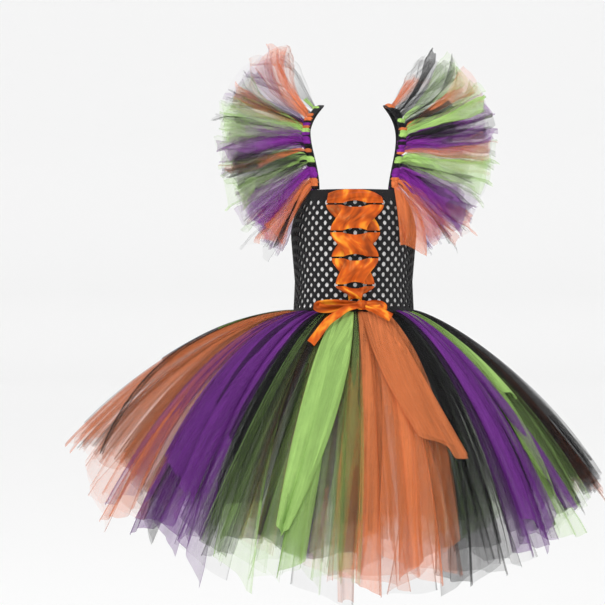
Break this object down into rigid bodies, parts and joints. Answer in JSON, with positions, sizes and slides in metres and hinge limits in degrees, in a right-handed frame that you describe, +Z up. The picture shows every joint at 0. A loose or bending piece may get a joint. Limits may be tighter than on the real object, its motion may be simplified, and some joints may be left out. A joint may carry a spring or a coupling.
{
  "type": "witch costume dress",
  "caption": "Child's sleeveless-bodice costume dress with ribbon lacing, ruffled strap sleeves and a full skirt of knotted tulle strips.",
  "frame": {"origin": "midway between the two shoulder straps, level with the undersides of their tops, where the wearer's shoulders carry them", "axes": "+Z up, -Y to the wearer's front, +X to the wearer's left (the viewer's right)"},
  "size_m": [0.7557, 0.4529, 0.7493],
  "materials": {
    "crochet": "matte stretch crochet",
    "lining": "matte knit",
    "ribbon": "satin",
    "tulle_orange": "sheer net",
    "tulle_purple": "sheer net",
    "tulle_green": "sheer net",
    "tulle_black": "sheer net"
  },
  "bodies": {
    "root": {"bodice_back": "crochet", "bodice_front": "crochet", "bow": "ribbon", "lacing": "ribbon", "lining": "lining", "skirt_black_back_left": "tulle_black", "skirt_black_left": "tulle_black", "skirt_black_over_back": "tulle_black", "skirt_black_right": "tulle_black", "skirt_black_side": "tulle_black", "skirt_green_back_left": "tulle_green", "skirt_green_back_right": "tulle_green", "skirt_green_over": "tulle_green", "skirt_green_over_right": "tulle_green", "skirt_green_right": "tulle_green", "skirt_olive_left": "tulle_green", "skirt_olive_middle": "tulle_green", "skirt_orange_back": "tulle_orange", "skirt_orange_back_left": "tulle_orange", "skirt_orange_back_right": "tulle_orange", "skirt_orange_front": "tulle_orange", "skirt_orange_left": "tulle_orange", "skirt_orange_over": "tulle_orange", "skirt_orange_over_left": "tulle_orange", "skirt_orange_side": "tulle_orange", "skirt_purple_back": "tulle_purple", "skirt_purple_back_right": "tulle_purple", "skirt_purple_left": "tulle_purple", "skirt_purple_over": "tulle_purple", "skirt_purple_right": "tulle_purple", "skirt_under_1": "tulle_black", "skirt_under_2": "tulle_black", "skirt_under_3": "tulle_black", "skirt_under_4": "tulle_black", "skirt_under_5": "tulle_black", "skirt_under_6": "tulle_black", "skirt_under_7": "tulle_black", "skirt_under_8": "tulle_black", "sleeve_left_black_back": "tulle_black", "sleeve_left_black_high": "tulle_black", "sleeve_left_green": "tulle_green", "sleeve_left_green_high": "tulle_green", "sleeve_left_orange_low": "tulle_orange", "sleeve_left_orange_top": "tulle_orange", "sleeve_left_purple_back": "tulle_purple", "sleeve_left_purple_low": "tulle_purple", "sleeve_left_purple_mid": "tulle_purple", "sleeve_right_black_back": "tulle_black", "sleeve_right_black_high": "tulle_black", "sleeve_right_green": "tulle_green", "sleeve_right_green_high": "tulle_green", "sleeve_right_orange_low": "tulle_orange", "sleeve_right_orange_top": "tulle_orange", "sleeve_right_purple_back": "tulle_purple", "sleeve_right_purple_low": "tulle_purple", "sleeve_right_purple_mid": "tulle_purple", "strap_left": "crochet", "strap_right": "crochet"}
  },
  "joints": []
}
